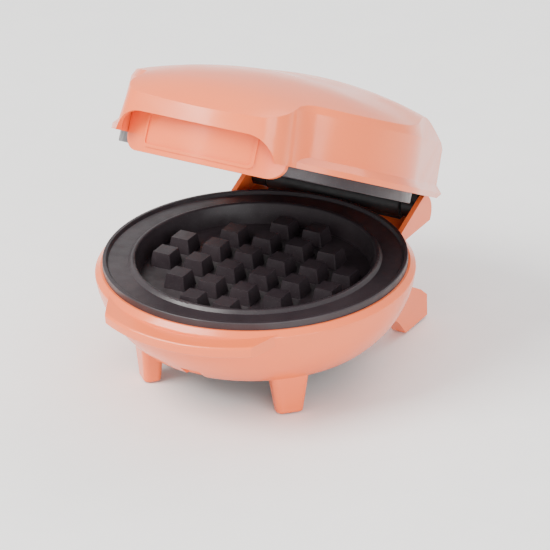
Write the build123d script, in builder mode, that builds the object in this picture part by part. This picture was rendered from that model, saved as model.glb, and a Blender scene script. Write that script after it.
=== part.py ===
"""Small round waffle maker with a hinged lid, two non-stick waffle plates and four feet.

Frame: millimetres, +Z up, floor at z = 0, front (handle) towards -Y, right side +X.
Every piece is drawn with the Z axis through the centre of the round lower plate.
Lid pieces are drawn with the lid closed and then swung open about the hinge by
OPEN_ANGLE, which is the stored pose.  Writing a piece moves it back by CENTRE_Y, so
that the stored origin is on the floor below the middle of the whole appliance.
"""

import os
from math import acos, atan2, cos, hypot, radians, sin, tan

from build123d import *

os.makedirs("parts", exist_ok=True)

# --- driving dimensions -------------------------------------------------------
WALL = 2.2  # moulded plastic wall
OPEN_ANGLE = 28.3  # lid angle of the stored pose, measured from closed
CENTRE_Y = 10.01  # middle of the whole appliance in the stored pose, front to back
HINGE_Y = 72.0
HINGE_Z = 49.0

# lower and upper plate
PLATE_R = 64.0  # lower plate, outside of its rim
RIM_Z = 50.0  # top of the lower plate's rim
PLATE_SIDE = 3.3  # rim height that shows above the housing
PLATE_T = 2.0  # cast plate wall
CAVITY_R = 48.5  # waffle cavity, at its floor
CAVITY_DEPTH = 9.0
CAVITY_DRAFT = 1.8
BEAD_W = 2.0
CHANNEL_DROP = 1.4
PEG_PITCH = 15.5
PEG_BASE = 10.6
PEG_DRAFT = 12.0
PEG_HEIGHT = 6.4
PEG_FIELD_R = 46.5
LID_GAP = 0.3  # air between the two plates when closed
UPPER_R = 62.1
UPPER_SIDE = 4.5  # rim height of the upper plate

# bowl of the base
BOWL_BASE_R = 51.5
BOWL_BASE_Z = 17.0
BOWL_MID = (62.2, 29.2)
BOWL_R = 67.3
BOWL_Z = 44.5
BOWL_TOP_R = 64.9
BOWL_MOUTH_R = 61.2
FLOOR_HOLE_R = 39.0

# crescent lip under the handle
LIP_X = 40.4
LIP_Y = -51.9
LIP_SHOULDER = (34.5, -66.0)  # where the lip's front curve meets its sides
LIP_CORNER = 7.0
LIP_REACH = 74.5
LIP_TOP = 45.6
LIP_SLOPE = 7.0
LIP_T = 5.2
NOTCH = (9.0, 17.0, 1.4)  # shallow notch below the lip: width, height, depth

# feet
LEG_ANGLE = 45.0  # front legs, from straight ahead
LEG_R = 47.0
LEG_TOP = (16.5, 10.0)
LEG_FOOT = (11.5, 7.5)
PAD_T = 2.4
PAD_PROUD = 0.8
PAD_R = 2.9
FIN_X = 41.0  # rear feet, centre
FIN_T = 6.4
FIN_PAD_Y = 63.0
FIN_PROFILE = (
    (33.0, 17.4),
    (41.0, 24.0),
    (45.0, 26.5),
    (64.0, 15.2),
    (69.5, 10.5),
    (69.5, PAD_PROUD),
    (50.0, PAD_PROUD),
    (44.0, 8.0),
)

# hinge
CHEEK_X = 42.0  # outer face of the hinge cheeks
CHEEK_R = 6.5  # rounded end of a cheek, about the hinge
SHELF_Z = 42.0  # underside of the shelf between the cheeks
SHELF_Y = 77.0
SHELF_T = 1.8
CHEEK_FOOT = (53.9, 47.8)
CHEEK_TOP = (72.6, 55.5)
CHEEK_HEEL = (77.0, SHELF_Z)
PIN_R = 2.0
PIN_HOLE_R = 2.05
PIN_IN = 27.0
PIN_OUT = 40.8
ARM_IN = 33.0  # lid hinge arms, inner face
ARM_OUT = 39.3
ARM_R = 4.6
ARM_WEB = 8.0
ARM_TOP_Z = 72.0
ARM_FLANGE = (7.2, 17.0, 2.2)
ARM_MID = (ARM_IN + ARM_OUT) / 2
ARM_BLOCK_Y = 67.5
ARM_SCREWS = [(side * ARM_MID, 62.8) for side in (-1, 1)]
BARREL_R = 5.2
BARREL_X = 32.0
BARREL_BORE = 3.2
BARREL_FOOT_Y = 72.6
BARREL_FOOT_W = 8.0

# lid shell, closed
LID_RIM_Z = RIM_Z + LID_GAP + UPPER_SIDE  # lower edge of the lid
LID_R = 63.7
LID_DRAFT = 2.8
SHOULDER_Z = 78.1
SHOULDER_SLOPE = 26.0
SHOULDER_H = 20.0
FLARE = 2.4
FLARE_Z = 57.2
FLARE_TOP_Z = 60.2
REAR_X = 45.2
REAR_Y = 83.5
REAR_CORNER = 14.0
REAR_LIFT = 2.8  # how much higher the lid's lower edge is at the back
REAR_BEVEL = (76.5, 89.0, 16.6)  # start height, end height and run of the bevel
NOSE_X = 39.6
NOSE_Y = 75.5
NOSE_SIDE_Y = 69.0
NOSE_CORNER = 13.0
NOSE_LEAN = 1.2  # how much further the nose's sides lean in at the shoulder
NOSE_BLEND = 15.0
HOOD_EDGE_Z = 64.2
HOOD_CORNER = 12.0
RECESS_ROOF_Z = 68.0
RECESS_X = NOSE_X - WALL
LID_TOP_Z = 93.3  # crown of the lid
CROWN_FALL = 10.0  # how far the crown falls at CROWN_HALF from the centre line
CROWN_HALF = 58.0
DOME_HALF = 72.0
CROWN = (  # crown height along the centre line, front to back: (y, z)
    (-86.0, 58.5),
    (-77.0, 68.5),
    (-70.0, 75.0),
    (-60.0, 81.0),
    (-45.0, 86.1),
    (-22.0, 90.7),
    (12.0, LID_TOP_Z),
    (48.0, 92.1),
    (92.0, 88.1),
)

# flap that closes the handle recess
FLAP_IN_R = 65.3
FLAP_R = 67.2
FLAP_X = 37.2
FLAP_Z = 47.9
FLAP_CORNER = 7.0
FRAME_X = 26.0
FRAME_Z = (50.4, 65.0)
FRAME_W = 1.3
FRAME_PROUD = 0.7

# heating and wiring
ELEMENT_R = 35.0
ELEMENT_TUBE = 3.2
ELEMENT_GAP = 0.1
COLD_END = 7.0
STUD_R = 1.2
STUD_H = 4.0
REFLECTOR_R = 52.0
REFLECTOR_T = 0.8
REFLECTOR_HOLE = 12.0
STAT_R = 8.0
REFLECTOR_LIP = 4.0
TERMINAL_ANGLES = (118.0, 62.0)  # ends of the heater ring, from +X towards +Y
LENS_POINTS = ((-9.0, 58.0), (9.0, 58.0))
LENS_Z = 88.4  # roof height at the lenses
LENS_RISE = 1.4
LENS_R = 3.0
LAMP_R = 2.2
LAMP_FOOT = 81.6
PILLAR_R = 3.6
SHOULDER_R = 5.0  # thicker lower part of a pillar, which carries the reflector
POST_R = 2.8  # posts on the upper plate's back, with a riveted tip
RIVET_R = 1.5
PLATE_SCREW_RING = 45.5
BOSS_Z = 37.0  # where the plate's bosses meet the pillars
PILLAR_CAP = 2.4
STAT_H = 8.0
REFLECTOR_DROP = 10.0
TERMINAL_Y = 43.8
LEAD_R = 1.0
CLIP_W = 9.0
CLIP_PROFILE = (  # radius, height above the lid's rim
    (54.6, 0.0),
    (58.6, 0.0),
    (58.6, 6.0),
    (60.6, 8.0),
    (58.6, 11.0),
    (57.9, 10.6),
    (59.5, 8.0),
    (57.8, 6.2),
    (57.8, 0.8),
    (54.6, 0.8),
)
COVER_T = 2.0
COVER_R = 44.8
COVER_SCREW_RING = 42.0
SCREW_R = 1.4
HEAD_R = 2.8
INLET_Z = 28.5
INLET_Y = 65.2
INLET_R = 6.0
INLET_BORE = 3.6

HINGE_AXIS = Axis((0, HINGE_Y, HINGE_Z), (1, 0, 0))
SIDES = {"left": -1, "right": 1}


def save(part, name):
    """Move a finished piece into the stored frame, label it and write its STEP file."""
    piece = part.moved(Location((0, -CENTRE_Y, 0)))
    piece.label = name
    export_step(piece, f"parts/{name}.step")


def save_on_lid(part, name):
    """Swing a lid piece from closed to the stored pose, then write it."""
    save(part.rotate(HINGE_AXIS, -OPEN_ANGLE), name)


def peg_points():
    """Centres of the whole pegs that fit in the round waffle cavity."""
    half = PEG_BASE / 2
    steps = [PEG_PITCH * (index + 0.5) for index in range(-3, 3)]
    return [
        (x, y)
        for x in steps
        for y in steps
        if (abs(x) + half) ** 2 + (abs(y) + half) ** 2 < PEG_FIELD_R**2
    ]


def polar(radius, angle):
    """Point at an angle from straight ahead (-Y), positive towards +X."""
    return (radius * sin(radians(angle)), -radius * cos(radians(angle)))


PAD_POINTS = (
    polar(LEG_R, -LEG_ANGLE),
    polar(LEG_R, LEG_ANGLE),
    (-FIN_X, FIN_PAD_Y),
    (FIN_X, FIN_PAD_Y),
)


def on_flap_face(edge):
    """True for the outline of the flap's outer face."""
    middle = edge.position_at(0.5)
    return hypot(middle.X, middle.Y) > FLAP_R - 0.1 and middle.Z < RECESS_ROOF_Z - 1


# --- base housing -------------------------------------------------------------
lip_plane = Plane(
    origin=(0, LIP_Y, LIP_TOP),
    x_dir=(1, 0, 0),
    z_dir=(0, -sin(radians(LIP_SLOPE)), cos(radians(LIP_SLOPE))),
)
housing_top = RIM_Z - PLATE_SIDE
plate_back = RIM_Z - CAVITY_DEPTH - PLATE_T
element_z = plate_back - ELEMENT_TUBE - ELEMENT_GAP
reflector_z = plate_back - REFLECTOR_DROP

with BuildPart() as base_housing:
    with BuildSketch(Plane.XZ):
        with BuildLine():
            Polyline((0, housing_top), (0, BOWL_BASE_Z), (BOWL_BASE_R, BOWL_BASE_Z))
            ThreePointArc((BOWL_BASE_R, BOWL_BASE_Z), BOWL_MID, (BOWL_R, BOWL_Z))
            Polyline((BOWL_R, BOWL_Z), (BOWL_TOP_R, housing_top), (0, housing_top))
        make_face()
    revolve(axis=Axis.Z)

    # crescent lip, falling slightly towards its front edge
    shoulder_x, shoulder_y = LIP_SHOULDER[0], LIP_SHOULDER[1] - LIP_Y
    lip_front = lip_plane.from_local_coords((0, shoulder_y, 0)).Y
    with BuildSketch(lip_plane) as lip:
        with BuildLine():
            ThreePointArc((-shoulder_x, shoulder_y), (0, -LIP_REACH - LIP_Y), (shoulder_x, shoulder_y))
            Polyline(
                (shoulder_x, shoulder_y),
                (LIP_X, 0),
                (LIP_X - 9, 12),
                (9 - LIP_X, 12),
                (-LIP_X, 0),
                (-shoulder_x, shoulder_y),
            )
        make_face()
        fillet(lip.vertices().filter_by(lambda v: abs(v.Y - lip_front) < 0.01), LIP_CORNER)
    extrude(amount=-LIP_T)
    lip_rim = base_housing.edges().filter_by(lambda e: e.center().Y < LIP_Y - 8)
    fillet(lip_rim.filter_by(GeomType.CIRCLE), 1.3)
    bowl_edges = base_housing.edges().filter_by(GeomType.CIRCLE)
    fillet(bowl_edges.filter_by(lambda e: abs(e.radius - BOWL_R) < 0.1), 1.0)
    bottom_rim = base_housing.edges().filter_by(GeomType.CIRCLE).sort_by(Axis.Z)[0]
    fillet(bottom_rim, 1.2)

    # hinge shelf behind the bowl
    with BuildSketch(Plane.XY.offset(SHELF_Z)):
        with Locations((0, SHELF_Y - 15)):
            Rectangle(2 * CHEEK_X - 2, 30)
    extrude(amount=SHELF_T)

    # the two hinge cheeks, each with a blind hole for its pin
    for side in SIDES.values():
        cheek_plane = Plane.YZ.offset(side * (CHEEK_X - WALL))
        with BuildSketch(cheek_plane) as cheek:
            with BuildLine():
                Polyline((51.5, SHELF_Z), (51.5, housing_top), CHEEK_FOOT, CHEEK_TOP)
                ThreePointArc(CHEEK_TOP, (HINGE_Y + CHEEK_R, HINGE_Z), CHEEK_HEEL)
                Line(CHEEK_HEEL, (51.5, SHELF_Z))
            make_face()
            fillet(cheek.vertices().group_by(Axis.Y)[-1], 3.5)
        extrude(amount=side * WALL)
        with BuildSketch(cheek_plane):
            with Locations((HINGE_Y, HINGE_Z)):
                Circle(PIN_HOLE_R)
        extrude(amount=side * (PIN_OUT + 0.1 - CHEEK_X + WALL), mode=Mode.SUBTRACT)

    # flat boss for the cord bush at the back
    with BuildSketch(Plane.XZ.offset(-INLET_Y)):
        with Locations((0, INLET_Z)):
            Circle(INLET_R + 2.6)
    extrude(amount=16)

    # hollow bowl, open at the mouth and at the bottom
    with BuildSketch(Plane.XZ):
        with BuildLine():
            Polyline((0, 0), (0, RIM_Z), (BOWL_MOUTH_R, RIM_Z), (BOWL_MOUTH_R, BOWL_Z + 1.4))
            Line((BOWL_MOUTH_R, BOWL_Z + 1.4), (BOWL_R - WALL - 0.2, BOWL_Z - 0.6))
            ThreePointArc(
                (BOWL_R - WALL - 0.2, BOWL_Z - 0.6),
                (BOWL_MID[0] - WALL, BOWL_MID[1] + 0.5),
                (BOWL_BASE_R - WALL, BOWL_BASE_Z + WALL),
            )
            Polyline(
                (BOWL_BASE_R - WALL, BOWL_BASE_Z + WALL),
                (FLOOR_HOLE_R, BOWL_BASE_Z + WALL),
                (FLOOR_HOLE_R, 0),
                (0, 0),
            )
        make_face()
    revolve(axis=Axis.Z, mode=Mode.SUBTRACT)

    # shallow notch in the middle of the front, below the lip
    with BuildSketch(Plane.XZ.offset(BOWL_BASE_R - NOTCH[2])):
        with Locations((0, BOWL_BASE_Z + NOTCH[1] / 2 - 2)):
            Rectangle(NOTCH[0], NOTCH[1])
    extrude(amount=3 * WALL, mode=Mode.SUBTRACT)

    # front legs, tapered towards the floor
    for angle in (-LEG_ANGLE, LEG_ANGLE):
        for height, size in ((BOWL_BASE_Z + 1.5, LEG_TOP), (PAD_PROUD, LEG_FOOT)):
            with BuildSketch(Plane.XY.offset(height)):
                with Locations(Location(polar(LEG_R, angle), angle)):
                    RectangleRounded(*size, 2.6)
        loft()

    # rear feet: slanted fins
    for side in SIDES.values():
        with BuildSketch(Plane.YZ.offset(side * FIN_X - FIN_T / 2)) as fin:
            with BuildLine():
                Polyline(*FIN_PROFILE, close=True)
            make_face()
            fillet(fin.vertices().group_by(Axis.Y)[-1], 2.4)
        extrude(amount=FIN_T)

    # pockets for the foot pads
    with BuildSketch(Plane.XY.offset(PAD_PROUD)):
        with Locations(*PAD_POINTS):
            Circle(PAD_R)
    extrude(amount=PAD_T - PAD_PROUD, mode=Mode.SUBTRACT)

    # screw pillars: one ring carries the plate, the other the bottom cover
    with BuildSketch(Plane.XY.offset(BOWL_BASE_Z + WALL - 0.2)):
        with PolarLocations(PLATE_SCREW_RING, 3, start_angle=30):
            Circle(PILLAR_R)
    extrude(amount=BOSS_Z - BOWL_BASE_Z - WALL + 0.2)
    with BuildSketch(Plane.XY.offset(BOWL_BASE_Z + WALL - 0.2)):
        with PolarLocations(PLATE_SCREW_RING, 3, start_angle=30):
            Circle(SHOULDER_R)
    extrude(amount=reflector_z - BOWL_BASE_Z - WALL + 0.2)
    with BuildSketch(Plane.XY.offset(BOWL_BASE_Z)):
        with PolarLocations(PLATE_SCREW_RING, 3, start_angle=30):
            Circle(HEAD_R - 0.2)
    extrude(amount=BOSS_Z - PILLAR_CAP - BOWL_BASE_Z, mode=Mode.SUBTRACT)
    with BuildSketch(Plane.XY.offset(BOWL_BASE_Z)):
        with PolarLocations(PLATE_SCREW_RING, 3, start_angle=30):
            Circle(SCREW_R + 0.05)
        with PolarLocations(COVER_SCREW_RING, 3, start_angle=90):
            Circle(SCREW_R + 0.05)
    extrude(amount=BOSS_Z - BOWL_BASE_Z, mode=Mode.SUBTRACT)

    # hole for the cord bush
    with BuildSketch(Plane.XZ.offset(-INLET_Y)):
        with Locations((0, INLET_Z)):
            Circle(INLET_R)
    extrude(amount=16, mode=Mode.SUBTRACT)
save(base_housing.part, "base_housing")


# --- feet, cover and screws ---------------------------------------------------
with BuildPart() as foot_pads:
    with BuildSketch():
        with Locations(*PAD_POINTS):
            Circle(PAD_R - 0.05)
    extrude(amount=PAD_T)
    chamfer(foot_pads.edges().group_by(Axis.Z)[0], 0.4)
save(foot_pads.part, "foot_pads")

cover_top = BOWL_BASE_Z
with BuildPart() as bottom_cover:
    with BuildSketch(Plane.XY.offset(cover_top - COVER_T)):
        Circle(COVER_R)
        with Locations(*PAD_POINTS[:2]):
            Circle(LEG_TOP[0] / 2 + 1.6, mode=Mode.SUBTRACT)
        with Locations(*[(side * FIN_X, 36) for side in SIDES.values()]):
            Rectangle(FIN_T + 2, 30, mode=Mode.SUBTRACT)
    extrude(amount=COVER_T)
    with BuildSketch(Plane.XY.offset(cover_top)):
        Circle(FLOOR_HOLE_R - 0.3)
        Circle(FLOOR_HOLE_R - 2.0, mode=Mode.SUBTRACT)
    extrude(amount=WALL)
    # cooling slots
    with BuildSketch(Plane.XY.offset(cover_top - COVER_T)):
        with GridLocations(0, 7, 1, 5):
            SlotOverall(34, 2.4)
    extrude(amount=COVER_T, mode=Mode.SUBTRACT)
    with BuildSketch(Plane.XY.offset(cover_top - COVER_T)):
        with PolarLocations(COVER_SCREW_RING, 3, start_angle=90):
            Circle(SCREW_R + 0.05)
    extrude(amount=COVER_T, mode=Mode.SUBTRACT)
save(bottom_cover.part, "bottom_cover")

with BuildPart() as cover_screws:
    with BuildSketch(Plane.XY.offset(cover_top - COVER_T)):
        with PolarLocations(COVER_SCREW_RING, 3, start_angle=90):
            Circle(SCREW_R)
    extrude(amount=COVER_T + WALL)
    with BuildSketch(Plane.XY.offset(cover_top - COVER_T)):
        with PolarLocations(COVER_SCREW_RING, 3, start_angle=90):
            Circle(HEAD_R)
    extrude(amount=-1.2)
    with BuildSketch(Plane.XY.offset(cover_top - COVER_T - 1.2)):
        with PolarLocations(COVER_SCREW_RING, 3, start_angle=90):
            Rectangle(3.0, 0.7)
            Rectangle(0.7, 3.0)
    extrude(amount=0.8, mode=Mode.SUBTRACT)
save(cover_screws.part, "cover_screws")

with BuildPart() as cord_bush:
    with BuildSketch(Plane.XZ.offset(-INLET_Y)):
        with Locations((0, INLET_Z)):
            Circle(INLET_R + 1.6)
    extrude(amount=-1.6)
    with BuildSketch(Plane.XZ.offset(-INLET_Y)):
        with Locations((0, INLET_Z)):
            Circle(INLET_R - 0.05)
    extrude(amount=6.0)
    fillet(cord_bush.edges().group_by(Axis.Y)[-1], 0.7)
    with BuildSketch(Plane.XZ.offset(-INLET_Y - 1.6)):
        with Locations((0, INLET_Z)):
            Circle(INLET_BORE)
    extrude(amount=7.6, mode=Mode.SUBTRACT)
save(cord_bush.part, "cord_bush")


# --- waffle plates ------------------------------------------------------------
def waffle_plate(rim_radius, side):
    """Lower plate with its rim at z = 0; the upper plate is its mirror image."""
    floor = -CAVITY_DEPTH
    channel = -CHANNEL_DROP
    mouth = CAVITY_R + CAVITY_DRAFT
    ring = mouth + BEAD_W
    with BuildPart() as plate:
        with BuildSketch(Plane.XZ):
            with BuildLine():
                Polyline((0, floor), (CAVITY_R, floor), (mouth, -0.4))
                ThreePointArc((mouth, -0.4), (mouth + BEAD_W / 2, 0.1), (ring, -0.4))
                Polyline((ring, -0.4), (ring + 0.9, channel), (rim_radius - 2.4, channel))
                Polyline((rim_radius - 2.4, channel), (rim_radius - 1.5, 0), (rim_radius, 0))
                Polyline((rim_radius, 0), (rim_radius, -side), (ring + 0.6, -side))
                Line((ring + 0.6, -side), (CAVITY_R + PLATE_T, floor - PLATE_T))
                Polyline((CAVITY_R + PLATE_T, floor - PLATE_T), (0, floor - PLATE_T))
                Line((0, floor - PLATE_T), (0, floor))
            make_face()
        revolve(axis=Axis.Z)
        soft = plate.edges().filter_by(lambda e: abs(e.center().Z) < 0.01)
        fillet(soft.filter_by(lambda e: e.radius > rim_radius - 2), 0.45)
        with BuildSketch(Plane.XY.offset(floor - 0.2)):
            with Locations(*peg_points()):
                RectangleRounded(PEG_BASE, PEG_BASE, 1.2)
        extrude(amount=PEG_HEIGHT + 0.2, taper=PEG_DRAFT)
    return plate.part


with BuildPart() as lower_plate:
    add(waffle_plate(PLATE_R, PLATE_SIDE).moved(Location((0, 0, RIM_Z))))
    with BuildSketch(Plane.XY.offset(plate_back)):
        with PolarLocations(PLATE_SCREW_RING, 3, start_angle=30):
            Circle(PILLAR_R)
    extrude(amount=BOSS_Z - plate_back)
    with BuildSketch(Plane.XY.offset(BOSS_Z)):
        with PolarLocations(PLATE_SCREW_RING, 3, start_angle=30):
            Circle(SCREW_R + 0.05)
    extrude(amount=2.5, mode=Mode.SUBTRACT)
save(lower_plate.part, "lower_plate")

with BuildPart() as upper_plate:
    add(waffle_plate(UPPER_R, UPPER_SIDE).mirror(Plane.XY).moved(Location((0, 0, RIM_Z + LID_GAP))))
    upper_back = RIM_Z + LID_GAP + CAVITY_DEPTH + PLATE_T
    # posts that carry the upper reflector
    with BuildSketch(Plane.XY.offset(upper_back)):
        with PolarLocations(PLATE_SCREW_RING, 3, start_angle=30):
            Circle(POST_R)
    extrude(amount=REFLECTOR_DROP - REFLECTOR_T)
    with BuildSketch(Plane.XY.offset(upper_back + REFLECTOR_DROP - REFLECTOR_T)):
        with PolarLocations(PLATE_SCREW_RING, 3, start_angle=30):
            Circle(RIVET_R)
    extrude(amount=1.6)
save_on_lid(upper_plate.part, "upper_plate")


# --- lid ----------------------------------------------------------------------
def lid_outline(grow, with_nose, lean=0):
    """Plan of the lid grown all round: round front, squarer rear and, if asked, the nose."""
    corner_x = REAR_X - REAR_CORNER
    corner_y = REAR_Y - REAR_CORNER
    round_r = LID_R + grow
    corner_r = REAR_CORNER + grow
    # direction square to the straight sides, which touch both the round and a corner
    tilt = acos((LID_R - REAR_CORNER) / hypot(corner_x, corner_y))
    side = atan2(corner_y, corner_x) - tilt
    flank = (round_r * cos(side), round_r * sin(side))
    shoulder = (corner_x + corner_r * cos(side), corner_y + corner_r * sin(side))
    rear = (corner_x, corner_y + corner_r)
    nose_x = NOSE_X + grow - lean
    nose_y = -NOSE_SIDE_Y - grow
    with BuildSketch() as outline:
        with BuildLine():
            Line(flank, shoulder)
            RadiusArc(shoulder, rear, -corner_r)
            Line(rear, (-rear[0], rear[1]))
            RadiusArc((-rear[0], rear[1]), (-shoulder[0], shoulder[1]), -corner_r)
            Line((-shoulder[0], shoulder[1]), (-flank[0], flank[1]))
            ThreePointArc((-flank[0], flank[1]), (0, -round_r), flank)
        make_face()
        if with_nose:
            with BuildLine():
                Polyline((-nose_x, nose_y), (-nose_x, -20), (nose_x, -20), (nose_x, nose_y))
                ThreePointArc((nose_x, nose_y), (0, -NOSE_Y - grow), (-nose_x, nose_y))
            make_face()
            front = outline.vertices().filter_by(lambda v: abs(v.Y - nose_y) < 0.01)
            fillet(front, NOSE_CORNER + grow)
            notch = outline.vertices().filter_by(lambda v: abs(abs(v.X) - nose_x) < 0.01)
            fillet(notch.group_by(Axis.Y)[-1], NOSE_BLEND)
    return outline.sketch


def dome(drop):
    """Everything below the lid's arched top surface, lowered by drop."""
    side_fall = CROWN_FALL * (DOME_HALF / CROWN_HALF) ** 2
    with BuildPart() as under:
        for y, crown in CROWN:
            height = crown - drop
            with BuildSketch(Plane.XZ.offset(-y)):
                with BuildLine():
                    Polyline(
                        (DOME_HALF, height - side_fall),
                        (DOME_HALF, 30),
                        (-DOME_HALF, 30),
                        (-DOME_HALF, height - side_fall),
                    )
                    ThreePointArc(
                        (-DOME_HALF, height - side_fall),
                        (0, height),
                        (DOME_HALF, height - side_fall),
                    )
                make_face()
        loft()
    return under.part


def lid_solid(inset):
    """The lid's outer form, or with an inset the hollow inside it."""
    with_nose = not inset
    wall_run = (SHOULDER_Z - LID_RIM_Z) * tan(radians(LID_DRAFT))
    shoulder_run = SHOULDER_H * tan(radians(SHOULDER_SLOPE))
    with BuildPart() as solid:
        with BuildSketch(Plane.XY.offset(LID_RIM_Z)):
            add(lid_outline(-inset, with_nose))
        with BuildSketch(Plane.XY.offset(SHOULDER_Z)):
            add(lid_outline(-inset - wall_run, with_nose, NOSE_LEAN))
        loft(ruled=True)
        with BuildSketch(Plane.XY.offset(SHOULDER_Z)):
            add(lid_outline(-inset - wall_run, with_nose, NOSE_LEAN))
        with BuildSketch(Plane.XY.offset(SHOULDER_Z + SHOULDER_H)):
            add(lid_outline(-inset - wall_run - shoulder_run, with_nose, NOSE_LEAN))
        loft(ruled=True)
        add(dome(inset), mode=Mode.INTERSECT)
        # bevel across the back
        bevel_low, bevel_high, bevel_run = REAR_BEVEL
        rear_y = REAR_Y - inset
        with BuildSketch(Plane.YZ.offset(-REAR_X - 20)):
            with BuildLine():
                Polyline(
                    (rear_y + bevel_run, bevel_low - inset - bevel_high + bevel_low),
                    (rear_y - 3 * bevel_run, bevel_high - inset + 2 * (bevel_high - bevel_low)),
                    (rear_y + bevel_run, bevel_high + 3 * bevel_run),
                    close=True,
                )
            make_face()
        extrude(amount=2 * REAR_X + 40, mode=Mode.SUBTRACT)
    return solid.part


lid_outer = lid_solid(0)
lid_hollow = lid_solid(WALL)

with BuildPart() as recess_cut:
    # finger recess behind the nose, and the arched opening in the nose's lower edge
    with BuildSketch(Plane.XY.offset(LID_RIM_Z - 1)):
        add(lid_outline(-WALL, with_nose=True))
    extrude(amount=RECESS_ROOF_Z - LID_RIM_Z + 1)
    with BuildSketch(Plane.XZ.offset(40)):
        with Locations((0, HOOD_EDGE_Z - 15)):
            RectangleRounded(2 * RECESS_X, 30, HOOD_CORNER)
    extrude(amount=50)
    with BuildSketch(Plane.XY.offset(LID_RIM_Z - 1)):
        with Locations((0, -60)):
            Rectangle(2 * RECESS_X, 60)
    extrude(amount=RECESS_ROOF_Z - LID_RIM_Z + 1, mode=Mode.INTERSECT)
    with BuildSketch(Plane.XY.offset(LID_RIM_Z - 1)):
        Circle(FLAP_IN_R)
    extrude(amount=RECESS_ROOF_Z - LID_RIM_Z + 1, mode=Mode.SUBTRACT)

with BuildPart() as arm_blocks:
    # blocks under the roof that take the hinge arms; they end inside the lid's wall
    with BuildSketch(Plane.XY.offset(ARM_TOP_Z)):
        with Locations(*[(side * ARM_MID, ARM_BLOCK_Y) for side in SIDES.values()]):
            Rectangle(ARM_FLANGE[0], ARM_FLANGE[1])
    extrude(amount=LID_TOP_Z - ARM_TOP_Z)
    add(lid_solid(WALL / 2), mode=Mode.INTERSECT)

with BuildPart() as lid_housing:
    add(lid_outer)

    # flared lower edge
    with BuildSketch(Plane.XY.offset(LID_RIM_Z)):
        add(lid_outline(FLARE, with_nose=False))
    extrude(amount=FLARE_Z - LID_RIM_Z)
    with BuildSketch(Plane.XY.offset(FLARE_Z)):
        add(lid_outline(FLARE, with_nose=False))
    with BuildSketch(Plane.XY.offset(FLARE_TOP_Z)):
        add(lid_outline(-0.3, with_nose=False))
    loft(ruled=True)

    add(lid_hollow, mode=Mode.SUBTRACT)
    add(recess_cut.part, mode=Mode.SUBTRACT)

    # holes in the arm blocks, and sockets for the two lamps
    add(arm_blocks.part)
    with BuildSketch(Plane.XY.offset(ARM_TOP_Z)):
        with Locations(*ARM_SCREWS):
            Circle(SCREW_R + 0.05)
    extrude(amount=7, mode=Mode.SUBTRACT)
    with BuildSketch(Plane.XY.offset(LENS_Z - 6)):
        with Locations(*LENS_POINTS):
            Circle(LENS_R + 0.05)
    extrude(amount=20, mode=Mode.SUBTRACT)

    # the lower edge rises at the back to clear the hinge shelf
    with BuildSketch(Plane.YZ.offset(-REAR_X - 20)):
        with BuildLine():
            Polyline(
                (REAR_Y - 18, LID_RIM_Z),
                (REAR_Y - 3, LID_RIM_Z + REAR_LIFT),
                (REAR_Y + 9, LID_RIM_Z + REAR_LIFT),
                (REAR_Y + 9, LID_RIM_Z - 1),
                (REAR_Y - 18, LID_RIM_Z - 1),
                close=True,
            )
        make_face()
    extrude(amount=2 * REAR_X + 40, mode=Mode.SUBTRACT)
save_on_lid(lid_housing.part, "lid_housing")

with BuildPart() as handle_flap:
    with BuildSketch(Plane.XZ.offset(45)):
        with Locations((0, FLAP_Z + 15)):
            RectangleRounded(2 * FLAP_X, 30, FLAP_CORNER)
    extrude(amount=35)
    with BuildSketch(Plane.XY.offset(FLAP_Z)):
        Circle(FLAP_R)
        Circle(FLAP_IN_R, mode=Mode.SUBTRACT)
    extrude(amount=RECESS_ROOF_Z - FLAP_Z, mode=Mode.INTERSECT)
    fillet(handle_flap.edges().filter_by(on_flap_face), 0.5)

with BuildPart() as flap_frame:
    # raised rectangular frame on the flap's face
    frame_h = FRAME_Z[1] - FRAME_Z[0]
    with BuildSketch(Plane.XZ.offset(55)):
        with Locations((0, (FRAME_Z[0] + FRAME_Z[1]) / 2)):
            RectangleRounded(2 * FRAME_X, frame_h, 2.5)
            RectangleRounded(2 * (FRAME_X - FRAME_W), frame_h - 2 * FRAME_W, 1.4, mode=Mode.SUBTRACT)
    extrude(amount=20)
    with BuildSketch(Plane.XY.offset(FLAP_Z)):
        Circle(FLAP_R + FRAME_PROUD)
        Circle(FLAP_R - 0.5, mode=Mode.SUBTRACT)
    extrude(amount=RECESS_ROOF_Z - FLAP_Z, mode=Mode.INTERSECT)
save_on_lid(handle_flap.part + flap_frame.part, "handle_flap")

for index, name in enumerate(("power", "ready")):
    spot = LENS_POINTS[index]
    with BuildPart() as lens:
        with BuildSketch(Plane.XY.offset(LENS_Z - 3)):
            with Locations(spot):
                Circle(LENS_R)
        extrude(amount=LENS_RISE + 3)
        fillet(lens.edges().group_by(Axis.Z)[-1], 1.0)
    save_on_lid(lens.part, f"{name}_lens")
    with BuildPart() as lamp:
        with BuildSketch(Plane.XY.offset(LAMP_FOOT)):
            with Locations(spot):
                Circle(LAMP_R)
        extrude(amount=LENS_Z - 4 - LAMP_FOOT)
        fillet(lamp.edges().group_by(Axis.Z)[-1], 1.6)
    save_on_lid(lamp.part, f"{name}_lamp")


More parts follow.
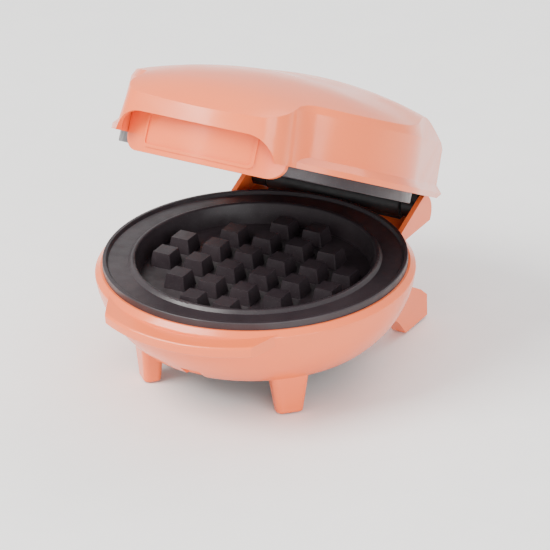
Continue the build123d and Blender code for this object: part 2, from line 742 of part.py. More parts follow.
# --- hinge --------------------------------------------------------------------
for label, side in SIDES.items():
    with BuildPart() as arm:
        with BuildSketch(Plane.YZ.offset(side * ARM_IN)):
            with Locations((HINGE_Y, HINGE_Z)):
                Circle(ARM_R)
            with Locations((HINGE_Y, (HINGE_Z + ARM_TOP_Z) / 2)):
                Rectangle(ARM_WEB, ARM_TOP_Z - HINGE_Z)
        extrude(amount=side * (ARM_OUT - ARM_IN))
        with BuildSketch(Plane.XY.offset(ARM_TOP_Z - ARM_FLANGE[2])):
            with Locations((side * ARM_MID, ARM_BLOCK_Y)):
                Rectangle(ARM_FLANGE[0], ARM_FLANGE[1])
        extrude(amount=ARM_FLANGE[2])
        with BuildSketch(Plane.YZ.offset(side * ARM_IN)):
            with Locations((HINGE_Y, HINGE_Z)):
                Circle(PIN_HOLE_R)
        extrude(amount=side * (ARM_OUT - ARM_IN), mode=Mode.SUBTRACT)
        with BuildSketch(Plane.XY.offset(ARM_TOP_Z - ARM_FLANGE[2])):
            with Locations(*[spot for spot in ARM_SCREWS if spot[0] * side > 0]):
                Circle(SCREW_R + 0.05)
        extrude(amount=ARM_FLANGE[2], mode=Mode.SUBTRACT)
    save_on_lid(arm.part, f"hinge_arm_{label}")
    with BuildPart() as pin:
        with BuildSketch(Plane.YZ.offset(side * PIN_IN)):
            with Locations((HINGE_Y, HINGE_Z)):
                Circle(PIN_R)
        extrude(amount=side * (PIN_OUT - PIN_IN))
        chamfer(pin.edges().group_by(Axis.X)[0], 0.3)
    save(pin.part, f"hinge_pin_{label}")

with BuildPart() as arm_screws:
    with BuildSketch(Plane.XY.offset(ARM_TOP_Z - ARM_FLANGE[2])):
        with Locations(*ARM_SCREWS):
            Circle(SCREW_R)
    extrude(amount=8)
    with BuildSketch(Plane.XY.offset(ARM_TOP_Z - ARM_FLANGE[2])):
        with Locations(*ARM_SCREWS):
            Circle(HEAD_R - 0.6)
    extrude(amount=-1.2)
save_on_lid(arm_screws.part, "hinge_arm_screws")

with BuildPart() as hinge_barrel:
    with BuildSketch(Plane.YZ.offset(-BARREL_X)):
        with Locations((HINGE_Y, HINGE_Z)):
            Circle(BARREL_R)
        with Locations((BARREL_FOOT_Y, (HINGE_Z + SHELF_Z + SHELF_T) / 2)):
            Rectangle(BARREL_FOOT_W, HINGE_Z - SHELF_Z - SHELF_T)
    extrude(amount=2 * BARREL_X)
    with BuildSketch(Plane.YZ.offset(-BARREL_X)):
        with Locations((HINGE_Y, HINGE_Z)):
            Circle(PIN_HOLE_R)
    extrude(amount=2 * BARREL_X, mode=Mode.SUBTRACT)
    with BuildSketch(Plane.YZ.offset(2 - PIN_IN)):
        with Locations((HINGE_Y, HINGE_Z)):
            Circle(BARREL_BORE)
    extrude(amount=2 * PIN_IN - 4, mode=Mode.SUBTRACT)
save(hinge_barrel.part, "hinge_barrel")

with BuildPart() as hinge_sleeve:
    with BuildSketch(Plane.YZ.offset(4 - PIN_IN)):
        with Locations((HINGE_Y, HINGE_Z)):
            Circle(BARREL_BORE - 0.2)
            Circle(BARREL_BORE - 1.0, mode=Mode.SUBTRACT)
    extrude(amount=2 * PIN_IN - 8)
save(hinge_sleeve.part, "hinge_sleeve")


# --- heating and wiring -------------------------------------------------------
def heating_element(height):
    """Sheathed tube heater: an open ring lying against a plate, with two end studs."""
    first, last = TERMINAL_ANGLES
    ends = [
        (ELEMENT_R * cos(radians(turn)), ELEMENT_R * sin(radians(turn))) for turn in TERMINAL_ANGLES
    ]
    first_plane = Plane(
        origin=(0, 0, 0),
        x_dir=(cos(radians(first)), sin(radians(first)), 0),
        z_dir=(sin(radians(first)), -cos(radians(first)), 0),
    )
    with BuildPart() as element:
        with BuildSketch(first_plane):
            with Locations((ELEMENT_R, height)):
                Circle(ELEMENT_TUBE)
        revolve(axis=Axis.Z, revolution_arc=360 - (first - last))
        # cold ends, turned away from the plate
        with BuildSketch(Plane.XY.offset(height)):
            with Locations(*ends):
                Circle(ELEMENT_TUBE)
        extrude(amount=-COLD_END)
        with BuildSketch(Plane.XY.offset(height - COLD_END)):
            with Locations(*ends):
                Circle(STUD_R)
        extrude(amount=-STUD_H)
    return element.part


def reflector(height, post_hole):
    """Thin dish that keeps the heat at the plate, with holes for what passes through."""
    with BuildPart() as dish:
        with BuildSketch(Plane.XY.offset(height)):
            Circle(REFLECTOR_R)
        extrude(amount=REFLECTOR_T)
        with BuildSketch(Plane.XY.offset(height)):
            Circle(REFLECTOR_R)
            Circle(REFLECTOR_R - REFLECTOR_T, mode=Mode.SUBTRACT)
        extrude(amount=REFLECTOR_LIP)
        with BuildSketch(Plane.XY.offset(height)):
            Circle(REFLECTOR_HOLE)
            with PolarLocations(PLATE_SCREW_RING, 3, start_angle=30):
                Circle(post_hole)
            for turn in TERMINAL_ANGLES:
                with PolarLocations(ELEMENT_R, 1, start_angle=turn):
                    Circle(ELEMENT_TUBE + 0.6)
        extrude(amount=REFLECTOR_T, mode=Mode.SUBTRACT)
    return dish.part


save(heating_element(element_z), "lower_element")
save(reflector(reflector_z, PILLAR_R + 0.3), "lower_reflector")

# the lid's heater and reflector are the lower ones turned over
turn_over = 2 * RIM_Z + LID_GAP
upper_element = heating_element(element_z).mirror(Plane.XY).moved(Location((0, 0, turn_over)))
save_on_lid(upper_element, "upper_element")
upper_reflector = reflector(reflector_z, RIVET_R + 0.05).mirror(Plane.XY).moved(Location((0, 0, turn_over)))
save_on_lid(upper_reflector, "upper_reflector")

with BuildPart() as plate_screws:
    with BuildSketch(Plane.XY.offset(BOSS_Z - PILLAR_CAP)):
        with PolarLocations(PLATE_SCREW_RING, 3, start_angle=30):
            Circle(HEAD_R - 0.4)
    extrude(amount=-1.4)
    with BuildSketch(Plane.XY.offset(BOSS_Z - PILLAR_CAP)):
        with PolarLocations(PLATE_SCREW_RING, 3, start_angle=30):
            Circle(SCREW_R)
    extrude(amount=PILLAR_CAP + 2.3)
save(plate_screws.part, "lower_plate_screws")

with BuildPart() as thermostat:
    with BuildSketch(Plane.XY.offset(plate_back - STAT_H)):
        Circle(STAT_R)
    extrude(amount=STAT_H - ELEMENT_GAP)
    with BuildSketch(Plane.XY.offset(plate_back - STAT_H)):
        with GridLocations(7, 0, 2, 1):
            Rectangle(0.8, 4)
    extrude(amount=-5)
    chamfer(thermostat.edges().group_by(Axis.Z)[-1], 0.5)
save(thermostat.part, "thermostat")

with BuildPart() as thermal_fuse:
    with BuildSketch(Plane.YZ.offset(-7)):
        with Locations((-20, reflector_z - 2.6)):
            Circle(1.8)
    extrude(amount=14)
    with BuildSketch(Plane.YZ.offset(-15)):
        with Locations((-20, reflector_z - 2.6)):
            Circle(0.6)
    extrude(amount=30)
save(thermal_fuse.part, "thermal_fuse")

floor_z = BOWL_BASE_Z + WALL
with BuildPart() as terminal_block:
    with BuildSketch(Plane.XY.offset(floor_z)):
        with Locations((0, TERMINAL_Y)):
            Rectangle(24, 7)
    extrude(amount=8)
    chamfer(terminal_block.edges().group_by(Axis.Z)[-1], 0.6)
    with BuildSketch(Plane.XY.offset(floor_z + 8)):
        with Locations((0, TERMINAL_Y)):
            with GridLocations(7.5, 0, 3, 1):
                Circle(1.7)
    extrude(amount=-3, mode=Mode.SUBTRACT)
save(terminal_block.part, "terminal_block")


def lead(points, radius):
    """Insulated lead that follows straight runs joined by arcs."""
    with BuildPart() as wire:
        with BuildLine() as route:
            FilletPolyline(*points, radius=radius)
        start = Plane(origin=route.wires()[0] @ 0, z_dir=route.wires()[0] % 0)
        with BuildSketch(start):
            Circle(LEAD_R)
        sweep()
    return wire.part


stud_x = ELEMENT_R * cos(radians(TERMINAL_ANGLES[1]))
stud_y = ELEMENT_R * sin(radians(TERMINAL_ANGLES[1]))
stud_z = element_z - COLD_END - STUD_H - 0.1
lead_z = floor_z + 2.2
base_leads = [
    lead(
        [
            (side * stud_x, stud_y, stud_z),
            (side * stud_x, stud_y, lead_z),
            (side * stud_x, TERMINAL_Y, lead_z),
            (side * 12.1, TERMINAL_Y, lead_z),
        ],
        1.2,
    )
    for side in SIDES.values()
]
with BuildPart() as base_wiring:
    add(base_leads)
save(base_wiring.part, "base_wiring")

lead_top = LAMP_FOOT - 0.1
lid_leads = [
    lead(
        [
            (side * stud_x, stud_y, turn_over - stud_z),
            (side * stud_x, stud_y, lead_top - 2.8),
            (side * LENS_POINTS[1][0], LENS_POINTS[1][1], lead_top - 2.8),
            (side * LENS_POINTS[1][0], LENS_POINTS[1][1], lead_top),
        ],
        1.2,
    )
    for side in SIDES.values()
]
with BuildPart() as lid_wiring:
    add(lid_leads)
save_on_lid(lid_wiring.part, "lid_wiring")

with BuildPart() as plate_clips:
    # spring clips on the upper plate's back that snap behind the lid's wall
    for turn in (0, 120, 240):
        clip_plane = Plane(
            origin=(0, 0, LID_RIM_Z),
            x_dir=(sin(radians(turn)), -cos(radians(turn)), 0),
            z_dir=(-cos(radians(turn)), -sin(radians(turn)), 0),
        )
        with BuildSketch(clip_plane.offset(-CLIP_W / 2)):
            with BuildLine():
                Polyline(*CLIP_PROFILE, close=True)
            make_face()
        extrude(amount=CLIP_W)
save_on_lid(plate_clips.part, "upper_plate_clips")
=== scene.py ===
"""Countertop waffle maker: dressed shells, plates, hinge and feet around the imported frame."""

from __future__ import annotations

import logging
from dataclasses import dataclass, field
from enum import Enum
from math import cos, radians, sin

import bmesh
import bpy
from mathutils import Matrix, Vector


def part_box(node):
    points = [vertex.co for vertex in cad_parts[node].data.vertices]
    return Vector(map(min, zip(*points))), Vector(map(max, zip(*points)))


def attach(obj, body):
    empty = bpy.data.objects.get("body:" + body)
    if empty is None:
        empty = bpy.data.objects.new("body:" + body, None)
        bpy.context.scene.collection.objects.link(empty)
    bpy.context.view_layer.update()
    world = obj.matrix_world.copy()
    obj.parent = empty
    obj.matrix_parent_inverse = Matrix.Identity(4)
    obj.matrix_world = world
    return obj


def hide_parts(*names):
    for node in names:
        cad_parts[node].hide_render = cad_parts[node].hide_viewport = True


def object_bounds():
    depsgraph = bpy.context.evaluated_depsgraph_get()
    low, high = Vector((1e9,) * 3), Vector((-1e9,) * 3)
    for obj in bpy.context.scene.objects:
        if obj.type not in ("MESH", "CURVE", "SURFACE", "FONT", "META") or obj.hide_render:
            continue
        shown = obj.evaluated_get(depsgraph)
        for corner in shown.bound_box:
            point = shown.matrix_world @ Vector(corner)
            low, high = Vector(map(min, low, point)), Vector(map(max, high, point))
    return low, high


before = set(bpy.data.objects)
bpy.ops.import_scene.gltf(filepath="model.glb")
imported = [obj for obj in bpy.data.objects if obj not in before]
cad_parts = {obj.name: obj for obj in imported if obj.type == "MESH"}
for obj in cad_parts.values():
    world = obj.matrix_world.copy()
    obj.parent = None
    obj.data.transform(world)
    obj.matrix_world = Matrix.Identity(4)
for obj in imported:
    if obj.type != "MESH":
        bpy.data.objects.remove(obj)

LOG = logging.getLogger("waffle_maker")
MM = 0.001
MERGE = 1e-6  # points closer than this, in metres, are one
FLAT_TURN = 0.05  # faces that turn by less, in degrees, are one flat face
SHARP_TURN = 50.0  # edges that turn by more, in degrees, are shaded sharp
BEVEL_STEPS = 3  # faces across a rounded edge
ROUND_PROFILE = 0.5  # bevel profile of a plain round
BASE_CREASE = 24.0  # edges of the base, flap and plates that turn by more, in degrees, are rounded
LID_CREASE = 16.0  # the same for the lid, whose shoulder is shallower
NEAR_CLIP = 0.01  # nearest distance that the camera sees, in metres
FLOOR_SHADE = 0.97  # darker patches of the floor, as a share of its tint
Tint = tuple[float, float, float]


def box_as_lists() -> list[list[float]]:
    """Overall box of everything shown, as plain lists of metres."""
    return [[float(value) for value in corner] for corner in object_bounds()]


CAD_BOX = box_as_lists()


class Body(Enum):
    """The two rigid bodies of the appliance."""

    BASE = "base"
    LID = "lid"


class Slot(Enum):
    """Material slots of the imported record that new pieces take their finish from."""

    PLASTIC = "peach_plastic"
    NON_STICK = "non_stick"
    BLACK = "black_plastic"
    RUBBER = "black_rubber"
    STEEL = "steel"
    HEATER = "heater_sheath"
    ALUMINIUM = "bright_aluminium"
    INSULATOR = "white_insulator"
    RED = "red_lens"
    GREEN = "green_lens"
    GLASS = "lamp_glass"


# --- finishes -------------------------------------------------------------------


@dataclass
class Graph:
    """A material's node tree with short calls for the nodes that the finishes share."""

    name: str
    material: bpy.types.Material = field(init=False)
    shader: bpy.types.Node = field(init=False)
    coords: bpy.types.NodeSocket = field(init=False)

    def __post_init__(self) -> None:
        """Start a material that holds one Principled shader on Object coordinates."""
        self.material = bpy.data.materials.new(self.name)
        self.material.use_nodes = True
        tree = self.material.node_tree
        self.shader = next(node for node in tree.nodes if node.type == "BSDF_PRINCIPLED")
        self.coords = self.node("ShaderNodeTexCoord").outputs["Object"]

    def node(self, kind: str) -> bpy.types.Node:
        """Add one node of a kind."""
        return self.material.node_tree.nodes.new(kind)

    def join(self, start: bpy.types.NodeSocket, end: bpy.types.NodeSocket) -> None:
        """Link an output socket to an input socket."""
        self.material.node_tree.links.new(start, end)

    def stretched(self, scale: tuple[float, float, float]) -> bpy.types.NodeSocket:
        """Object coordinates scaled differently along each axis.

        Args:
            scale: factors along X, Y and Z.

        Returns:
            The stretched coordinates.
        """
        mapping = self.node("ShaderNodeMapping")
        mapping.inputs["Scale"].default_value = scale
        self.join(self.coords, mapping.inputs["Vector"])
        return mapping.outputs["Vector"]

    def noise(
        self, scale: float, detail: float = 3.0, coords: bpy.types.NodeSocket | None = None
    ) -> bpy.types.NodeSocket:
        """Soft noise over the surface.

        Args:
            scale: cells per metre.
            detail: octaves of finer noise.
            coords: other coordinates than the plain Object ones.

        Returns:
            The noise value from 0 to 1.
        """
        texture = self.node("ShaderNodeTexNoise")
        texture.inputs["Scale"].default_value = scale
        texture.inputs["Detail"].default_value = detail
        self.join(coords or self.coords, texture.inputs["Vector"])
        return texture.outputs["Fac"]

    def flecks(self, scale: float, size: float) -> bpy.types.NodeSocket:
        """Small round flecks scattered over the surface.

        Args:
            scale: cells per metre.
            size: share of a cell that a fleck fills.

        Returns:
            1 on a fleck, falling to 0 around it.
        """
        texture = self.node("ShaderNodeTexVoronoi")
        texture.inputs["Scale"].default_value = scale
        self.join(self.coords, texture.inputs["Vector"])
        return self.remap(texture.outputs["Distance"], (0.0, size), (1.0, 0.0))

    def remap(
        self, value: bpy.types.NodeSocket, source: tuple[float, float], target: tuple[float, float]
    ) -> bpy.types.NodeSocket:
        """Map a value from one range to another, clamped.

        Args:
            value: the value to map.
            source: its low and high ends.
            target: what those ends become.

        Returns:
            The mapped value.
        """
        mapped = self.node("ShaderNodeMapRange")
        mapped.inputs["From Min"].default_value, mapped.inputs["From Max"].default_value = source
        mapped.inputs["To Min"].default_value, mapped.inputs["To Max"].default_value = target
        self.join(value, mapped.inputs["Value"])
        return mapped.outputs["Result"]

    def mix(
        self,
        factor: bpy.types.NodeSocket,
        low: "Tint | bpy.types.NodeSocket",
        high: "Tint | bpy.types.NodeSocket",
    ) -> bpy.types.NodeSocket:
        """Blend two colours by a factor.

        Args:
            factor: 0 gives low and 1 gives high.
            low: a tint or a colour socket.
            high: a tint or a colour socket.

        Returns:
            The blended colour.
        """
        blend = self.node("ShaderNodeMix")
        blend.data_type = "RGBA"
        self.join(factor, blend.inputs[0])
        for socket, colour in ((blend.inputs[6], low), (blend.inputs[7], high)):
            if isinstance(colour, bpy.types.NodeSocket):
                self.join(colour, socket)
            else:
                socket.default_value = (*colour, 1.0)
        return blend.outputs[2]

    def bump(
        self,
        height: bpy.types.NodeSocket,
        depth: float,
        strength: float = 1.0,
        below: bpy.types.NodeSocket | None = None,
    ) -> bpy.types.NodeSocket:
        """Turn a height into a bumped normal.

        Args:
            height: surface height from 0 to 1.
            depth: metres that a height of 1 stands for.
            strength: how much of the bump shows.
            below: a bumped normal that this one adds to.

        Returns:
            The bumped normal.
        """
        bumped = self.node("ShaderNodeBump")
        bumped.inputs["Strength"].default_value = strength
        bumped.inputs["Distance"].default_value = depth
        self.join(height, bumped.inputs["Height"])
        if below is not None:
            self.join(below, bumped.inputs["Normal"])
        return bumped.outputs["Normal"]

    def feed(self, **sockets: "float | Tint | bpy.types.NodeSocket") -> bpy.types.Material:
        """Set or link the shader's inputs by name, with _ for a space.

        Args:
            sockets: each input's constant or the socket that drives it.

        Returns:
            The finished material.
        """
        for name, value in sockets.items():
            socket = self.shader.inputs[name.replace("_", " ")]
            if isinstance(value, bpy.types.NodeSocket):
                self.join(value, socket)
            elif isinstance(value, tuple):
                socket.default_value = (*value, 1.0)
            else:
                socket.default_value = value
        return self.material


@dataclass(frozen=True)
class GlossPlastic:
    """Polished moulded plastic: faint flow clouds, orange peel and hairline polishing."""

    name: str
    tint: Tint
    deep: Tint
    gloss: tuple[float, float] = (0.16, 0.26)
    peel: float = 0.00006

    def build(self) -> bpy.types.Material:
        """Make the material."""
        graph = Graph(self.name)
        clouds = graph.remap(graph.noise(14.0, 2.0), (0.3, 0.7), (0.0, 1.0))
        grain = graph.remap(graph.noise(1600.0, 2.0), (0.35, 0.65), (0.0, 0.35))
        colour = graph.mix(grain, graph.mix(clouds, self.tint, self.deep), self.deep)
        wipe = graph.noise(60.0, 4.0, graph.stretched((1.0, 0.35, 2.4)))
        rough = graph.remap(wipe, (0.3, 0.7), self.gloss)
        peel = graph.bump(graph.noise(260.0, 1.0), self.peel, 0.22)
        fine = graph.bump(graph.noise(2400.0, 2.0), 0.000012, 0.25, peel)
        return graph.feed(
            Base_Color=colour,
            Roughness=rough,
            Normal=fine,
            IOR=1.5,
            Coat_Weight=0.06,
            Coat_Roughness=0.08,
            Subsurface_Weight=0.04,
            Subsurface_Scale=0.002,
        )


@dataclass(frozen=True)
class NonStickCoat:
    """Sprayed non-stick coating on cast aluminium: satin, speckled and slightly pebbled."""

    name: str
    tint: Tint
    fleck: Tint

    def build(self) -> bpy.types.Material:
        """Make the material."""
        graph = Graph(self.name)
        clouds = graph.remap(graph.noise(35.0, 3.0), (0.3, 0.7), (0.0, 0.5))
        base = graph.mix(clouds, self.tint, self.fleck)
        colour = graph.mix(graph.flecks(900.0, 0.28), base, self.fleck)
        rough = graph.remap(graph.noise(220.0, 4.0), (0.3, 0.7), (0.3, 0.46))
        pebble = graph.bump(graph.noise(900.0, 2.0), 0.00005, 0.35)
        fine = graph.bump(graph.noise(3200.0, 2.0), 0.00002, 0.3, pebble)
        return graph.feed(Base_Color=colour, Roughness=rough, Normal=fine, IOR=1.46)


@dataclass(frozen=True)
class TexturedPlastic:
    """Spark-eroded satin plastic or rubber with a fine even grain."""

    name: str
    tint: Tint
    worn: Tint
    rough: tuple[float, float]
    grain: float = 1400.0
    depth: float = 0.00004

    def build(self) -> bpy.types.Material:
        """Make the material."""
        graph = Graph(self.name)
        scuffs = graph.remap(graph.noise(90.0, 4.0), (0.45, 0.75), (0.0, 0.7))
        colour = graph.mix(scuffs, self.tint, self.worn)
        rough = graph.remap(graph.noise(300.0, 3.0), (0.3, 0.7), self.rough)
        normal = graph.bump(graph.noise(self.grain, 2.0), self.depth, 0.5)
        return graph.feed(Base_Color=colour, Roughness=rough, Normal=normal)


@dataclass(frozen=True)
class BareMetal:
    """Plated, rolled or oxidised metal with fine lines along one axis."""

    name: str
    tint: Tint
    dull: Tint
    rough: tuple[float, float]
    lines: tuple[float, float, float] = (0.08, 1.0, 1.0)

    def build(self) -> bpy.types.Material:
        """Make the material."""
        graph = Graph(self.name)
        tarnish = graph.remap(graph.noise(120.0, 4.0), (0.4, 0.7), (0.0, 1.0))
        colour = graph.mix(tarnish, self.tint, self.dull)
        streaks = graph.noise(1800.0, 3.0, graph.stretched(self.lines))
        rough = graph.remap(streaks, (0.3, 0.7), self.rough)
        normal = graph.bump(streaks, 0.00002, 0.35)
        return graph.feed(Base_Color=colour, Roughness=rough, Normal=normal, Metallic=1.0)


@dataclass(frozen=True)
class ClearPart:
    """Tinted lens plastic or lamp glass."""

    name: str
    tint: Tint
    deep: Tint
    clear: float

    def build(self) -> bpy.types.Material:
        """Make the material."""
        graph = Graph(self.name)
        swirl = graph.remap(graph.noise(700.0, 2.0), (0.3, 0.7), (0.0, 1.0))
        colour = graph.mix(swirl, self.tint, self.deep)
        rough = graph.remap(graph.noise(500.0, 2.0), (0.3, 0.7), (0.05, 0.14))
        return graph.feed(
            Base_Color=colour, Roughness=rough, IOR=1.49, Transmission_Weight=self.clear
        )


FINISHES: dict[Slot, "GlossPlastic | NonStickCoat | TexturedPlastic | BareMetal | ClearPart"] = {
    Slot.PLASTIC: GlossPlastic("peach_plastic", (0.92, 0.185, 0.055), (0.88, 0.16, 0.045)),
    Slot.NON_STICK: NonStickCoat("non_stick_coat", (0.017, 0.012, 0.015), (0.046, 0.034, 0.038)),
    Slot.BLACK: TexturedPlastic(
        "black_satin", (0.016, 0.015, 0.016), (0.035, 0.034, 0.035), (0.4, 0.55)
    ),
    Slot.RUBBER: TexturedPlastic(
        "foot_rubber", (0.02, 0.02, 0.02), (0.05, 0.05, 0.048), (0.7, 0.85), 900.0
    ),
    Slot.STEEL: BareMetal("zinc_plate", (0.62, 0.61, 0.58), (0.42, 0.41, 0.4), (0.24, 0.4)),
    Slot.HEATER: BareMetal("heater_sheath", (0.3, 0.27, 0.24), (0.16, 0.13, 0.11), (0.4, 0.6)),
    Slot.ALUMINIUM: BareMetal("bright_aluminium", (0.8, 0.8, 0.81), (0.66, 0.66, 0.67), (0.2, 0.36)),
    Slot.INSULATOR: TexturedPlastic("insulation", (0.72, 0.7, 0.64), (0.6, 0.57, 0.5), (0.5, 0.65)),
    Slot.RED: ClearPart("red_lens", (0.75, 0.03, 0.02), (0.5, 0.01, 0.01), 0.55),
    Slot.GREEN: ClearPart("green_lens", (0.06, 0.5, 0.14), (0.03, 0.32, 0.08), 0.55),
    Slot.GLASS: ClearPart("lamp_glass", (0.95, 0.9, 0.85), (0.85, 0.78, 0.7), 0.8),
}


@dataclass
class FinishShelf:
    """Builds each finish once and hands it out by slot."""

    made: dict[Slot, bpy.types.Material] = field(default_factory=dict)

    def get(self, slot: Slot) -> bpy.types.Material:
        """Material of a slot, made at its first use."""
        if slot not in self.made:
            self.made[slot] = FINISHES[slot].build()
        return self.made[slot]


# --- pieces ---------------------------------------------------------------------


@dataclass
class SubAssembly:
    """A named group of pieces; the new ones that it builds ride on its body."""

    shelf: FinishShelf
    body: Body

    def dress(self, node: str, slot: Slot) -> None:
        """Give a carried-over node its full material.

        Args:
            node: name of the node.
            slot: slot whose finish it gets.
        """
        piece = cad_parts[node]
        for place in piece.material_slots:
            place.material = self.shelf.get(slot)
        LOG.info("dressed %s", node)

    def softened(self, node: str, name: str, slot: Slot, radius: float, crease: float) -> None:
        """Copy of a node with its sharp edges rounded, which stands for the node.

        Args:
            node: name of the node.
            name: name of the new piece.
            slot: slot whose finish it gets.
            radius: size of the rounding, in metres.
            crease: edges that turn by more than this many degrees are rounded.
        """
        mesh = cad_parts[node].data.copy()
        work = bmesh.new()
        work.from_mesh(mesh)
        bmesh.ops.remove_doubles(work, verts=work.verts, dist=MERGE)
        bmesh.ops.dissolve_limit(
            work, angle_limit=radians(FLAT_TURN), verts=work.verts, edges=work.edges, delimit=set()
        )
        sharp = [
            edge
            for edge in work.edges
            if edge.is_manifold and edge.calc_face_angle() > radians(crease)
        ]
        bmesh.ops.bevel(
            work,
            geom=sharp,
            offset=radius,
            offset_type="OFFSET",
            segments=BEVEL_STEPS,
            profile=ROUND_PROFILE,
            affect="EDGES",
            material=-1,
            clamp_overlap=True,
        )
        for face in work.faces:
            face.smooth = True
            face.material_index = 0
        for edge in work.edges:
            edge.smooth = not edge.is_manifold or edge.calc_face_angle() < radians(SHARP_TURN)
        work.to_mesh(mesh)
        work.free()
        mesh.materials.clear()
        mesh.materials.append(self.shelf.get(slot))
        piece = bpy.data.objects.new(name, mesh)
        bpy.context.scene.collection.objects.link(piece)
        weighted = piece.modifiers.new("even_shading", "WEIGHTED_NORMAL")
        weighted.keep_sharp = True
        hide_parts(node)
        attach(piece, self.body.value)
        LOG.info("built %s with %d faces", name, len(mesh.polygons))


@dataclass
class BaseShell(SubAssembly):
    """Bowl with its lip, legs, rear fins and hinge cheeks, and what closes it below."""

    edge: float = 0.5 * MM

    def build(self) -> None:
        """Build the shell and dress the small parts on it."""
        self.softened("base_housing", "base_shell", Slot.PLASTIC, self.edge, BASE_CREASE)
        self.dress("bottom_cover", Slot.BLACK)
        self.dress("foot_pads", Slot.RUBBER)
        self.dress("cord_bush", Slot.RUBBER)
        self.dress("cover_screws", Slot.STEEL)


@dataclass
class LidShell(SubAssembly):
    """Domed lid with the hooded grip, its flap and the two indicator lenses."""

    edge: float = 0.7 * MM
    flap_edge: float = 0.3 * MM

    def build(self) -> None:
        """Build the shell and the flap, and dress the indicators."""
        self.softened("lid_housing", "lid_shell", Slot.PLASTIC, self.edge, LID_CREASE)
        self.softened("handle_flap", "grip_flap", Slot.PLASTIC, self.flap_edge, BASE_CREASE)
        self.dress("power_lens", Slot.RED)
        self.dress("ready_lens", Slot.GREEN)
        self.dress("power_lamp", Slot.GLASS)
        self.dress("ready_lamp", Slot.GLASS)
        self.dress("lid_wiring", Slot.INSULATOR)


@dataclass
class BakingPlate(SubAssembly):
    """One cast waffle plate with the heater and reflector behind it."""

    side: str = "lower"
    edge: float = 0.45 * MM

    def build(self) -> None:
        """Build the plate and dress what is behind it."""
        self.softened(
            f"{self.side}_plate",
            f"{self.side}_baking_plate",
            Slot.NON_STICK,
            self.edge,
            BASE_CREASE,
        )
        self.dress(f"{self.side}_element", Slot.HEATER)
        self.dress(f"{self.side}_reflector", Slot.ALUMINIUM)


@dataclass
class HingeSet(SubAssembly):
    """Lid arms, pins and the barrel between the cheeks."""

    def build(self) -> None:
        """Dress the hinge's nodes."""
        for side in ("left", "right"):
            self.dress(f"hinge_arm_{side}", Slot.BLACK)
            self.dress(f"hinge_pin_{side}", Slot.STEEL)
        self.dress("hinge_barrel", Slot.BLACK)
        self.dress("hinge_sleeve", Slot.STEEL)
        self.dress("hinge_arm_screws", Slot.STEEL)
        self.dress("upper_plate_clips", Slot.STEEL)


@dataclass
class Wiring(SubAssembly):
    """Thermostat, fuse, terminals and screws inside the bowl."""

    def build(self) -> None:
        """Dress the parts inside the bowl."""
        self.dress("thermostat", Slot.STEEL)
        self.dress("thermal_fuse", Slot.ALUMINIUM)
        self.dress("terminal_block", Slot.INSULATOR)
        self.dress("base_wiring", Slot.INSULATOR)
        self.dress("lower_plate_screws", Slot.STEEL)


# --- studio ---------------------------------------------------------------------


@dataclass(frozen=True)
class Softbox:
    """A square area light that faces the appliance."""

    name: str
    place: tuple[float, float, float]
    size: float
    watts: float
    tint: Tint = (1.0, 1.0, 1.0)

    def build(self, target: Vector) -> None:
        """Hang the light so that it faces a point.

        Args:
            target: the point it faces.
        """
        data = bpy.data.lights.new(self.name, "AREA")
        data.shape = "SQUARE"
        data.size = self.size
        data.energy = self.watts
        data.color = self.tint
        light = bpy.data.objects.new(self.name, data)
        bpy.context.scene.collection.objects.link(light)
        light.location = Vector(self.place)
        light.rotation_euler = (target - light.location).to_track_quat("-Z", "Y").to_euler()


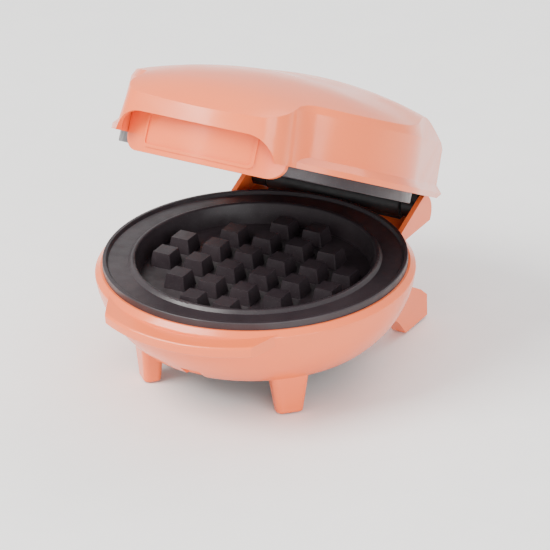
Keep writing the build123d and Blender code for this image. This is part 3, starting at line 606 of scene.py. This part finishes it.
@dataclass
class Studio:
    """Pale floor, soft lights and an even surround."""

    floor_half: float = 3.0
    floor_tint: Tint = (0.88, 0.88, 0.87)
    surround: Tint = (1.0, 1.0, 1.0)
    surround_level: float = 1.05
    lights: tuple[Softbox, ...] = (
        Softbox("key_softbox", (-0.55, -0.65, 0.95), 0.7, 25.0, (1.0, 0.98, 0.95)),
        Softbox("fill_softbox", (0.85, -0.65, 0.4), 0.8, 9.0, (0.98, 0.99, 1.0)),
        Softbox("rim_softbox", (0.1, 0.75, 0.9), 0.8, 7.0),
    )

    def build(self) -> None:
        """Lay the floor, light the scene and set the surround."""
        self.lay_floor()
        low, high = (Vector(corner) for corner in CAD_BOX)
        for light in self.lights:
            light.build((low + high) / 2)
        world = bpy.data.worlds.new("surround")
        world.use_nodes = True
        sky = next(node for node in world.node_tree.nodes if node.type == "BACKGROUND")
        sky.inputs["Color"].default_value = (*self.surround, 1.0)
        sky.inputs["Strength"].default_value = self.surround_level
        bpy.context.scene.world = world

    def lay_floor(self) -> None:
        """Make the floor just below the feet."""
        graph = Graph("pale_floor")
        grain = graph.remap(graph.noise(40.0, 4.0), (0.3, 0.7), (0.0, 1.0))
        darker = tuple(FLOOR_SHADE * value for value in self.floor_tint)
        colour = graph.mix(grain, self.floor_tint, darker)
        rough = graph.remap(grain, (0.0, 1.0), (0.55, 0.65))
        material = graph.feed(Base_Color=colour, Roughness=rough)
        mesh = bpy.data.meshes.new("floor")
        work = bmesh.new()
        bmesh.ops.create_grid(work, x_segments=1, y_segments=1, size=self.floor_half)
        bmesh.ops.translate(work, vec=(0.0, 0.0, CAD_BOX[0][2]), verts=work.verts)
        work.to_mesh(mesh)
        work.free()
        mesh.materials.append(material)
        floor = bpy.data.objects.new("floor", mesh)
        bpy.context.scene.collection.objects.link(floor)


@dataclass
class ViewCamera:
    """Long-lens camera in front of the right-hand side, a little above the lid."""

    azimuth: float = 29.6
    elevation: float = 26.22
    roll: float = -1.35
    distance: float = 2508.1 * MM
    aside: float = -8.29 * MM
    above: float = 8.59 * MM
    sensor: float = 36.0
    lens: float = 392.73

    def build(self) -> None:
        """Place the camera so that it looks at the lower plate's rim."""
        low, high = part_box("lower_plate")
        centre = Vector(((low.x + high.x) / 2, (low.y + high.y) / 2, high.z))
        turn, tilt, roll = (radians(angle) for angle in (self.azimuth, self.elevation, self.roll))
        ahead = Vector((-sin(turn), cos(turn), 0.0))
        level = Vector((cos(turn), sin(turn), 0.0))
        upright = Vector((0.0, 0.0, 1.0))
        gaze = ahead * cos(tilt) - upright * sin(tilt)
        rise = upright * cos(tilt) + ahead * sin(tilt)
        right = level * cos(roll) + rise * sin(roll)
        top = rise * cos(roll) - level * sin(roll)
        place = centre - gaze * self.distance - right * self.aside - top * self.above
        data = bpy.data.cameras.new("view_camera")
        data.sensor_width = self.sensor
        data.lens = self.lens
        data.clip_start = NEAR_CLIP
        camera = bpy.data.objects.new("view_camera", data)
        bpy.context.scene.collection.objects.link(camera)
        turned = Matrix((right, top, -gaze)).transposed().to_4x4()
        camera.matrix_world = Matrix.Translation(place) @ turned
        bpy.context.scene.camera = camera


def main() -> None:
    """Build every sub-assembly, then the studio and the camera."""
    shelf = FinishShelf()
    assemblies = (
        BaseShell(shelf, Body.BASE),
        LidShell(shelf, Body.LID),
        BakingPlate(shelf, Body.BASE, "lower"),
        BakingPlate(shelf, Body.LID, "upper"),
        HingeSet(shelf, Body.BASE),
        Wiring(shelf, Body.BASE),
    )
    for assembly in assemblies:
        assembly.build()
    Studio().build()
    ViewCamera().build()


if __name__ == "__main__":
    logging.basicConfig(level=logging.INFO, format="%(name)s: %(message)s")
    main()
